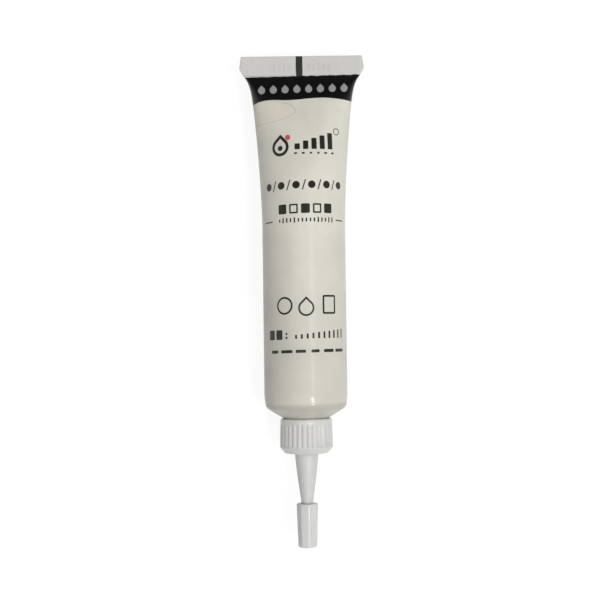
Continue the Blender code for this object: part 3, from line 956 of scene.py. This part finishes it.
def paint_material(sizes):
    """Thick wet paint: a smooth gloss with slow swirls of tone and a soft skin."""
    material, tree, shader = new_material("wet_paint")
    swirl = tree.noise(object_place(tree), 420.0, 3.0, 0.6)
    tone = tree.blend(swirl, rgba(sizes.paint), rgba(sizes.paint, 0.93))
    tree.feed(shader.inputs["Base Color"], tone)
    tree.feed(shader.inputs["Roughness"], tree.math("MULTIPLY_ADD", swirl, 0.12, 0.2))
    bump(tree, shader, swirl, 0.00006)
    set_constants(shader, ior=1.48, coat_weight=0.5, coat_roughness=0.1)
    return material


# ---- Operators ----


class BuildSleeve(bpy.types.Operator):
    """Build the printed sleeve with its flat seal"""

    bl_idname = "paint_tube.sleeve"
    bl_label = "Sleeve"

    def execute(self, context):
        sizes, head = context.scene.tube_sleeve, context.scene.tube_head
        grid = sleeve_grid(sizes, head)
        made = skin("printed_sleeve", grid, False, film_places(grid))
        dress(made, "sleeve", "tube", film_material(sizes, head.plastic))
        return {"FINISHED"}


HEAD_COLUMNS = 216
NECK_ROWS = 120
NECK_FOOT = 0.0003  # rounding between the seat and the neck
MOUTH_ROUNDING = 0.0002
SKIRT_CHAMFER = 0.0002
SEAT_SOFTNESS = 0.00015


class BuildHead(bpy.types.Operator):
    """Build the moulded head with its cone and threaded neck"""

    bl_idname = "paint_tube.head"
    bl_label = "Threaded head"

    def execute(self, context):
        head, sleeve = context.scene.tube_head, context.scene.tube_sleeve
        slope = head.shoulder_angle
        edge_start, lip_radius = shoulder_edge(sleeve, slope)
        thread_start = on_cone(lip_radius, slope, head.seat_radius)[1] + NECK_FOOT
        thread_end = NECK_END - head.neck_chamfer
        profile = np.concatenate(
            (
                self.outside(head, sleeve.film, edge_start, lip_radius),
                self.neck(head, thread_start, thread_end),
                self.inside(head, lip_radius),
            )
        )
        ridge = thread_height(
            profile[:, 1:], ring_turns(HEAD_COLUMNS)[None, :], head.pitch, head.crest, head.flank,
            thread_start, thread_end, 0.0,
        )
        added = at_radius(profile, head.neck_radius) * ridge * head.thread_depth
        made = skin("threaded_head", turned(profile, HEAD_COLUMNS, added), True)
        material = moulded_material(
            "head_moulding", head.plastic, patch=0.93, roughness=0.42, subsurface=0.05, coat=0.06
        )
        dress(made, "shoulder_head", "tube", material)
        return {"FINISHED"}

    def outside(self, head, film, edge_start, lip_radius):
        """The skirt, the step that takes the film's thickness, and the cone."""
        slope, skirt_bore = head.shoulder_angle, SKIRT_RADIUS - head.skirt_wall
        along = np.array((-math.cos(slope), math.sin(slope)))
        cone_start = np.array((lip_radius, SHOULDER_START)) + FITTED * along
        step_foot = cone_start - film * np.array((math.sin(slope), math.cos(slope)))
        seat_edge = on_cone(lip_radius, slope, head.seat_radius + SEAT_SOFTNESS)
        return np.concatenate(
            (
                line((skirt_bore, SKIRT_START), (SKIRT_RADIUS - SKIRT_CHAMFER, SKIRT_START), 3),
                line((SKIRT_RADIUS, SKIRT_START + SKIRT_CHAMFER), (SKIRT_RADIUS, edge_start), 4),
                line((SKIRT_RADIUS - FITTED, edge_start + STEP / 2), step_foot, 3),
                line(cone_start, seat_edge, 24),
            )
        )

    def neck(self, head, thread_start, thread_end):
        """The flat seat, the wall that takes the thread, and the rim of the mouth."""
        neck, chamfer, seat = head.neck_radius, head.neck_chamfer, thread_start - NECK_FOOT
        rim_edge = (head.bore_radius + MOUTH_ROUNDING, NECK_END)
        return np.concatenate(
            (
                line((head.seat_radius - STEP, seat), (neck + NECK_FOOT, seat), 4),
                arc((neck + NECK_FOOT, thread_start), NECK_FOOT, 270, 180, 5)[1:],
                line((neck, thread_start + STEP / 5), (neck, thread_end), NECK_ROWS),
                arc((neck - chamfer, thread_end), chamfer, 10, 90, 7),
                line((neck - chamfer - STEP, NECK_END), rim_edge, 4),
            )
        )

    def inside(self, head, lip_radius):
        """The bore, the underside of the cone and the inside of the skirt."""

        def under(radius):
            return on_cone(lip_radius, head.shoulder_angle, radius, head.wall)

        bore, skirt_bore = head.bore_radius, SKIRT_RADIUS - head.skirt_wall
        mouth, skirt_end = NECK_END - MOUTH_ROUNDING, under(skirt_bore)[1] - STEP
        return np.concatenate(
            (
                arc((bore + MOUTH_ROUNDING, mouth), MOUTH_ROUNDING, 100, 180, 4),
                line((bore, mouth - STEP), under(bore), 8),
                line(under(bore + STEP), under(skirt_bore), 8),
                line((skirt_bore, skirt_end), (skirt_bore, SKIRT_START + STEP), 4),
            )
        )


FILL_ROOM = 0.00008  # gap between the paint and the walls round it
FILL_ROWS, MENISCUS_ROWS = 48, 14
LEVEL_DROP = 0.0004  # from the neck's end down to the paint
CHARGE_ROWS, CHARGE_COLUMNS = 60, 96


class BuildPaint(bpy.types.Operator):
    """Build the paint in the sleeve and the paint that stands in the spout"""

    bl_idname = "paint_tube.paint"
    bl_label = "Paint"

    def execute(self, context):
        scene = context.scene
        material = paint_material(scene.tube_paint)
        self.fill(scene, material)
        self.charge(scene, material)
        return {"FINISHED"}

    def fill(self, scene, material):
        """The fill follows the inside of the sleeve, the cone and the neck's bore."""
        sizes, head, sag = scene.tube_sleeve, scene.tube_head, scene.tube_paint.sag
        slope = head.shoulder_angle
        lip_radius = shoulder_edge(sizes, slope)[1]
        stop = SKIRT_START - FILL_ROOM
        shares = np.linspace(0, 1, FILL_ROWS) ** ROW_CROWDING
        station = FILL_START + (stop - FILL_START) * shares
        inset = np.full(FILL_ROWS, sizes.film + FILL_ROOM)
        width, thickness = film_half_width(sizes, station), film_half_thickness(sizes, station)
        body = film_rings(sizes, station, width, thickness, inset)
        wide = SKIRT_RADIUS - head.skirt_wall - FILL_ROOM
        narrow = head.bore_radius - FILL_ROOM

        def under(radius):
            return on_cone(lip_radius, slope, radius, head.wall + FILL_ROOM)

        level = NECK_END - LEVEL_DROP
        part = np.sqrt(1 - np.linspace(0, 0.98, MENISCUS_ROWS) ** 2)
        profile = np.concatenate(
            (
                line((wide, stop), under(wide), 4),
                line(under(wide - STEP), under(narrow), 10),
                line((narrow, under(narrow)[1] + STEP), (narrow, level - STEP), 10),
                np.stack((narrow * part, level - sag * (1 - part**2)), axis=1),
            )
        )
        grid = np.concatenate((body, turned(profile, SLEEVE_COLUMNS)))
        made = skin("paint_in_sleeve", grid, False)
        dress(made, "paint_fill", "tube", material)

    def charge(self, scene, material):
        """The charge follows the spout's bore, and both its ends are hollow."""
        nozzle, sag = scene.tube_nozzle, scene.tube_paint.sag
        stations = np.linspace(CHARGE_START, CHARGE_END, CHARGE_ROWS)
        radii = spout_radius(nozzle, stations) - nozzle.spout_wall - FITTED
        wall = np.stack((radii, stations), axis=1)
        part = np.linspace(0.06, 0.97, 9)[:, None]
        first = np.concatenate((part * radii[0], CHARGE_START + sag * (1 - part**2)), axis=1)
        last = np.concatenate((part * radii[-1], CHARGE_END - sag * (1 - part**2)), axis=1)
        profile = np.concatenate((first, wall, last[::-1]))
        made = skin("paint_in_spout", turned(profile, CHARGE_COLUMNS), False)
        dress(made, "spout_paint", "thread_carrier", material)


RIB_COLUMNS = 12  # points round each rib
RIB_ROWS, SPOUT_ROWS, BORE_ROWS, THREAD_ROWS = 34, 44, 24, 88
GROOVE_POWER = 0.62  # the lower, the narrower the grooves between the ribs
GROOVE_START = (-0.0002, 0.0004)  # where the grooves fade in, from the start of the ribs
GROOVE_END = (-0.0003, 0.0004)  # where they fade out, from the end of the ribs
OUTER_WALL = 0.0004  # farther out than this from the bore is outside
THREAD_FROM_RIM, THREAD_TO_CEILING = 0.0006, 0.0004
COLLAR_SOFTNESS = 0.00025  # reach of the soft corners at both ends of the chamfer
TIP_ROUNDING = 0.00015
POLISHED_LENGTH = 0.0005  # over which the collar's gloss fades out, at the spout's foot


class BuildNozzle(bpy.types.Operator):
    """Build the nozzle with its ribbed collar, spout and inner thread"""

    bl_idname = "paint_tube.nozzle"
    bl_label = "Ribbed nozzle"

    def execute(self, context):
        nozzle, head = context.scene.tube_nozzle, context.scene.tube_head
        collar_end = SPOUT_TIP - nozzle.spout_length
        ceiling = collar_end - nozzle.end_wall
        chamfer_start = collar_end - nozzle.chamfer_length
        rib_start, rib_end = RIM + nozzle.rim_band, chamfer_start - nozzle.foot_band
        profile = np.concatenate(
            (
                self.collar(nozzle, rib_start, rib_end, chamfer_start, collar_end),
                self.spout(nozzle, collar_end),
                self.bores(nozzle, ceiling),
            )
        )
        columns = nozzle.ribs * RIB_COLUMNS
        turns = ring_turns(columns)[None, :]
        ridge = thread_height(
            profile[:, 1:], turns, head.pitch, head.crest, head.flank,
            RIM + THREAD_FROM_RIM, ceiling - THREAD_TO_CEILING, 0.5,
        )
        threads = at_radius(profile, nozzle.bore_radius) * ridge * nozzle.thread_depth
        added = -self.grooves(nozzle, profile, turns, rib_start, rib_end) - threads
        made = skin("ribbed_nozzle", turned(profile, columns, added), True)
        foot_place = SEAL_END - collar_end
        material = moulded_material(
            "nozzle_moulding", nozzle.plastic, patch=0.96, roughness=0.34, subsurface=0.4, coat=0.5,
            polished=(foot_place - POLISHED_LENGTH, foot_place),
        )
        dress(made, "nozzle", "nozzle", material)
        return {"FINISHED"}

    def collar(self, nozzle, rib_start, rib_end, chamfer_start, collar_end):
        """The rounded rim, the ribbed wall with its draft, and the chamfer."""
        rim, rounding = RIM - SEAT_GAP + FITTED, nozzle.rounding
        rim_radius = COLLAR_RADIUS - nozzle.draft
        top_radius = COLLAR_RADIUS - nozzle.chamfer_depth
        chamfer = np.array((-nozzle.chamfer_depth, nozzle.chamfer_length))
        chamfer = chamfer / np.linalg.norm(chamfer)
        shoulder, foot = np.array((COLLAR_RADIUS, chamfer_start)), np.array((top_radius, collar_end))
        upward, inward = np.array((0.0, 1.0)), np.array((-1.0, 0.0))
        return np.concatenate(
            (
                line((nozzle.bore_radius + STEP, rim), (rim_radius - rounding, rim), 5),
                arc((rim_radius - rounding, rim + rounding), rounding, -80, 0, 10),
                line((rim_radius, rim + rounding + STEP), (rim_radius, rib_start), 5),
                line((rim_radius, rib_start + STEP), (COLLAR_RADIUS, rib_end), RIB_ROWS),
                bend(shoulder, upward, chamfer, COLLAR_SOFTNESS),
                bend(foot, chamfer, inward, COLLAR_SOFTNESS),
            )
        )

    def spout(self, nozzle, collar_end):
        """The collar's flat end, the fillet, the tapering wall and the rounded tip."""
        fillet, tip = nozzle.fillet, nozzle.tip_radius
        root = float(spout_radius(nozzle, collar_end + fillet))
        flat_start = COLLAR_RADIUS - nozzle.chamfer_depth - 2 * COLLAR_SOFTNESS
        tip_edge = SPOUT_TIP - TIP_ROUNDING
        taper = np.linspace(collar_end + fillet + STEP, tip_edge, SPOUT_ROWS)
        rim_edge = (tip - nozzle.spout_wall + STEP, SPOUT_TIP)
        return np.concatenate(
            (
                line((flat_start, collar_end), (root + fillet, collar_end), 6),
                arc((root + fillet, collar_end + fillet), fillet, 262, 184, 8),
                np.stack((spout_radius(nozzle, taper), taper), axis=1),
                arc((tip - TIP_ROUNDING, tip_edge), TIP_ROUNDING, 15, 90, 5),
                line((tip - 2 * TIP_ROUNDING, SPOUT_TIP), rim_edge, 3),
            )
        )

    def bores(self, nozzle, ceiling):
        """The spout's bore, the collar's ceiling and the wall that takes the thread."""
        spout_bore = np.linspace(SPOUT_TIP - STEP, ceiling + STEP, BORE_ROWS)
        collar_bore = nozzle.bore_radius
        inner = spout_radius(nozzle, ceiling) - nozzle.spout_wall + STEP
        lowest = RIM - SEAT_GAP + FITTED + 2 * STEP
        return np.concatenate(
            (
                np.stack((spout_radius(nozzle, spout_bore) - nozzle.spout_wall, spout_bore), axis=1),
                line((inner, ceiling), (collar_bore - STEP, ceiling), 8),
                line((collar_bore, ceiling - STEP), (collar_bore, lowest), THREAD_ROWS),
            )
        )

    def grooves(self, nozzle, profile, turns, rib_start, rib_end):
        """How deep the wall lies between the ribs: depth·(1 − |sin(ribs·turn/2)|^power)."""
        radius, station = profile[:, :1], profile[:, 1:]
        ribbed = smooth(rib_start + GROOVE_START[0], rib_start + GROOVE_START[1], station)
        ribbed = ribbed * (1 - smooth(rib_end + GROOVE_END[0], rib_end + GROOVE_END[1], station))
        wave = np.abs(np.sin(nozzle.ribs * (turns - nozzle.rib_turn) / 2))
        outside = radius > nozzle.bore_radius + OUTER_WALL
        return nozzle.rib_depth * outside * ribbed * (1 - wave**GROOVE_POWER)


CAP_COLUMNS = 240
FACET_POWER = 28  # the higher, the sharper the edges between the cap's flats
PIN_ROOM = 0.0002  # between the pin and the spout's bore
CAP_LIP = (0.00012, 0.00015)  # the small step at the mouth's outer edge
MOUTH_ROWS, END_ROWS = 5, 8  # over which the round bore and end change to the eight flats


class BuildCap(bpy.types.Operator):
    """Build the eight-sided cap with its socket and pin"""

    bl_idname = "paint_tube.cap"
    bl_label = "Tip cap"

    def execute(self, context):
        cap, nozzle = context.scene.tube_cap, context.scene.tube_nozzle
        inner = self.socket(cap, nozzle)
        outer = self.outside(cap, inner[-1, 0])
        squared = np.ones(len(outer))
        squared[:MOUTH_ROWS] = np.linspace(0.2, 1.0, MOUTH_ROWS)
        squared[-END_ROWS:] = np.linspace(1.0, 0.0, END_ROWS)
        squared = np.concatenate((np.zeros(len(inner)), squared))
        profile = np.concatenate((inner, outer))
        added = profile[:, :1] * (self.reach(cap) - 1) * squared[:, None]
        made = skin("eight_sided_cap", turned(profile, CAP_COLUMNS, added), False)
        material = moulded_material(
            "cap_moulding", cap.plastic, patch=0.97, roughness=0.32, subsurface=0.7, coat=0.25
        )
        dress(made, "tip_cap", "tip_cap", material)
        return {"FINISHED"}

    def socket(self, cap, nozzle):
        """The pin, the socket's floor, and the wall that fits the spout out to its lead-in."""
        floor = CAP_END - cap.end_wall
        pin_radius, pin_end = nozzle.tip_radius - nozzle.spout_wall - PIN_ROOM, floor - cap.pin
        wall = np.linspace(floor - STEP, CAP_MOUTH + cap.lead_in, 30)
        fitted = spout_radius(nozzle, wall) + FITTED
        mouth = float(fitted[-1]) + cap.lead_in
        return np.concatenate(
            (
                line((pin_radius * 0.08, pin_end), (pin_radius - STEP, pin_end), 4),
                line((pin_radius, pin_end + STEP), (pin_radius, floor - STEP), 6),
                line((pin_radius + STEP / 2, floor), (float(fitted[0]) - STEP / 2, floor), 4),
                np.stack((fitted, wall), axis=1),
                line((mouth, CAP_MOUTH + STEP), (mouth + STEP, CAP_MOUTH), 2),
            )
        )

    def outside(self, cap, bore):
        """The rim, the drafted sides and the rounded end, as a profile across the flats."""
        across, along = CAP_LIP
        closed = CAP_END - cap.edge
        sides = np.linspace(CAP_MOUTH + along, closed, 26)
        drafted = cap.apothem - cap.draft * (sides - CAP_MOUTH) / (closed - CAP_MOUTH)
        last = drafted[-1]
        return np.concatenate(
            (
                line((bore + STEP, CAP_MOUTH), (cap.apothem - across, CAP_MOUTH), MOUTH_ROWS),
                np.stack((drafted, sides), axis=1),
                arc((last - cap.edge, closed), cap.edge, 10, 88, 9),
                line((last - cap.edge * 1.1, CAP_END), (STEP, CAP_END), END_ROWS),
            )
        )

    def reach(self, cap):
        """The eight-sided outline of a unit circle: (Σ max(cos(turn − flat), 0)^p)^(−1/p)."""
        corner = math.pi / 2 - cap.turned
        middles = corner + FULL_TURN / cap.sides * (np.arange(cap.sides) + 0.5)
        facing = np.maximum(np.cos(ring_turns(CAP_COLUMNS)[None, :] - middles[:, None]), 0.0)
        return 1 / np.sum(facing**FACET_POWER, axis=0)[None, :] ** (1 / FACET_POWER)


LAMPS = (  # name, size along and across the tube, place, tint
    ("key_lamp", (0.085, 0.135), (0.22, -0.195, 0.66), (1.0, 0.985, 0.95)),
    ("strip_lamp", (0.26, 0.13), (0.212, 0.03, 0.62), (0.98, 0.99, 1.0)),
    ("soft_lamp", (0.4, 0.5), (-0.19, -0.08, 0.6), (0.98, 0.98, 1.0)),
)
FLOOR_REACH = 4.0
FLOOR_WHITE = 1.13
FLOOR_TONE = (0.75, 0.75, 0.75, 1.0)  # to the camera, the gloss and clear surfaces
DIM_BOUNCE = (0.19, 0.19, 0.185, 1.0)  # what the floor sends back on the tube's left
LIT_BOUNCE = (0.46, 0.5, 0.56, 1.0)  # and on its right
BOUNCE_SPAN = (-0.005, 0.03)
SIDE_GAIN = 0.66  # how much lighter the surroundings are on the right
END_SPAN, END_LOSS = (0.45, 0.85), 0.75  # they darken beyond the sealed end
DIM_OVERHEAD = (0.3, 0.75)
DIM_SEALED_END = (0.4, 0.8)
DIM_RIGHT, RIGHT_SHARE = (0.5, 0.95), 0.55
REFLECTION_LOSS = 0.92  # what the gloss loses where the surroundings are dim
SKY_TINT = (1.0, 0.99, 0.965, 1.0)


class BuildStage(bpy.types.Operator):
    """Set out the floor, the lamps, the surroundings and the camera"""

    bl_idname = "paint_tube.stage"
    bl_label = "Stage"

    def execute(self, context):
        stage = context.scene.tube_stage
        self.floor(context.scene, stage)
        self.surroundings(context.scene, stage)
        for power, lamp in zip((stage.key, stage.strip, stage.fill), LAMPS):
            self.lamp(context.scene, power, *lamp)
        self.camera(context.scene, stage)
        context.scene.view_settings.view_transform = "Standard"
        return {"FINISHED"}

    def floor(self, scene, stage):
        """A white floor to the camera, a dimmer one as a source of light, and clear from below."""
        sides = ((-1, -1), (1, -1), (1, 1), (-1, 1))
        corners = [(FLOOR_REACH * x, FLOOR_REACH * y, 0.0) for x, y in sides]
        mesh = bpy.data.meshes.new("pale_floor")
        mesh.from_pydata(corners, [], [(0, 1, 2, 3)])
        floor = bpy.data.objects.new("pale_floor", mesh)
        scene.collection.objects.link(floor)
        material = bpy.data.materials.new("pale_floor")
        material.use_nodes = True
        material.node_tree.nodes.clear()
        tree = Tree(material.node_tree)
        seen = self.seen(tree)
        lit_side = tree.step(tree.split(object_place(tree))[0], *BOUNCE_SPAN)
        tone = tree.blend(seen, tree.blend(lit_side, DIM_BOUNCE, LIT_BOUNCE), FLOOR_TONE)
        lit = tree.fed("ShaderNodeBsdfDiffuse", {"Color": tone}).outputs[0]
        glow = {"Color": (1.0, 1.0, 1.0, 1.0), "Strength": FLOOR_WHITE}
        white = tree.fed("ShaderNodeEmission", glow).outputs[0]
        part = tree.math("MULTIPLY", seen, stage.glow)
        mixed = tree.fed("ShaderNodeMixShader", {0: part, 1: lit, 2: white}).outputs[0]
        clear = tree.add("ShaderNodeBsdfTransparent").outputs[0]
        from_below = tree.add("ShaderNodeNewGeometry").outputs["Backfacing"]
        mixed = tree.fed("ShaderNodeMixShader", {0: from_below, 1: mixed, 2: clear}).outputs[0]
        tree.feed(tree.add("ShaderNodeOutputMaterial").inputs[0], mixed)
        mesh.materials.append(material)

    def seen(self, tree):
        """1 for rays from the camera, and for those that glossy and clear surfaces send on."""
        path = tree.add("ShaderNodeLightPath").outputs
        return most(tree, [path[f"Is {kind} Ray"] for kind in ("Camera", "Glossy", "Transmission")])

    def surroundings(self, scene, stage):
        """Soft light from all round: more from the right, less from the sealed end, and dimmer
        to the gloss overhead, beyond the sealed end and on the right."""
        world = bpy.data.worlds.new("surroundings")
        scene.world = world
        world.use_nodes = True
        world.node_tree.nodes.clear()
        tree = Tree(world.node_tree)
        sideways, lengthways, rise = tree.split(tree.add("ShaderNodeTexCoord").outputs["Generated"])
        around = tree.math("MULTIPLY_ADD", sideways, SIDE_GAIN, 1.0)
        dark_end = tree.math("MULTIPLY_ADD", tree.step(lengthways, *END_SPAN), -END_LOSS, 1.0)
        around = tree.math("MULTIPLY", tree.math("MULTIPLY", around, dark_end), stage.ambient)
        overhead = tree.step(rise, *DIM_OVERHEAD)
        sealed_end = tree.step(lengthways, *DIM_SEALED_END)
        to_the_side = scaled(tree, tree.step(sideways, *DIM_RIGHT), RIGHT_SHARE)
        glossy = tree.add("ShaderNodeLightPath").outputs["Is Glossy Ray"]
        dark = tree.math("MULTIPLY", most(tree, [overhead, sealed_end, to_the_side]), glossy)
        white = tree.math("MULTIPLY_ADD", dark, -REFLECTION_LOSS, 1.0)
        strength = tree.choose(self.seen(tree), around, white)
        light = tree.fed("ShaderNodeBackground", {"Color": SKY_TINT, "Strength": strength})
        tree.feed(tree.add("ShaderNodeOutputWorld").inputs[0], light.outputs[0])

    def lamp(self, scene, power, name, size, place, tint):
        """An area lamp aimed at the tube's middle."""
        light = bpy.data.lights.new(name, "AREA")
        light.shape = "RECTANGLE"
        light.size, light.size_y = size
        light.energy = power
        light.color = tint
        lamp = bpy.data.objects.new(name, light)
        lamp.location = place
        aim = Vector((0.0, 0.0, AXIS_HEIGHT)) - lamp.location
        lamp.rotation_euler = aim.to_track_quat("-Z", "Y").to_euler()
        lamp.visible_camera = False
        scene.collection.objects.link(lamp)

    def camera(self, scene, stage):
        """The camera, given by its place, where it aims and how far it rolls."""
        data = bpy.data.cameras.new("camera")
        data.lens = stage.lens
        data.shift_y = stage.lens_shift
        data.clip_start = 0.01
        camera = bpy.data.objects.new("camera", data)
        scene.collection.objects.link(camera)
        place = Vector((stage.aim_across, stage.camera_along, AXIS_HEIGHT + stage.camera_height))
        sight = (Vector((stage.aim_across, stage.aim_along, AXIS_HEIGHT)) - place).normalized()
        upward = Vector((math.sin(stage.roll), math.cos(stage.roll), 0.0))
        right = sight.cross(upward).normalized()
        camera.matrix_world = Matrix.Translation(place) @ Matrix(
            (right, right.cross(sight), -sight)
        ).transposed().to_4x4()
        scene.camera = camera


class TubePanel(bpy.types.Panel):
    """Lists the tube's settings and the operators that build it"""

    bl_idname = "VIEW3D_PT_paint_tube"
    bl_label = "Paint Tube"
    bl_space_type = "VIEW_3D"
    bl_region_type = "UI"
    bl_category = "Paint Tube"

    def draw(self, context):
        for name, settings in SETTINGS.items():
            box = self.layout.box()
            box.label(text=settings.__name__)
            for prop in settings.__annotations__:
                box.prop(getattr(context.scene, name), prop)
        for operator in OPERATORS:
            self.layout.operator(operator.bl_idname)


SETTINGS = {
    "tube_sleeve": SleeveSettings,
    "tube_head": HeadSettings,
    "tube_nozzle": NozzleSettings,
    "tube_cap": CapSettings,
    "tube_paint": PaintSettings,
    "tube_stage": StageSettings,
}
OPERATORS = (BuildStage, BuildSleeve, BuildHead, BuildPaint, BuildNozzle, BuildCap)


def register():
    for made in (*SETTINGS.values(), *OPERATORS, TubePanel):
        bpy.utils.register_class(made)
    for name, settings in SETTINGS.items():
        setattr(bpy.types.Scene, name, PointerProperty(type=settings))


def unregister():
    for name in SETTINGS:
        delattr(bpy.types.Scene, name)
    for made in (TubePanel, *reversed(OPERATORS), *reversed(tuple(SETTINGS.values()))):
        bpy.utils.unregister_class(made)


def main():
    register()
    for operator in OPERATORS:
        getattr(bpy.ops.paint_tube, operator.bl_idname.split(".")[1])()


if __name__ == "__main__":
    main()
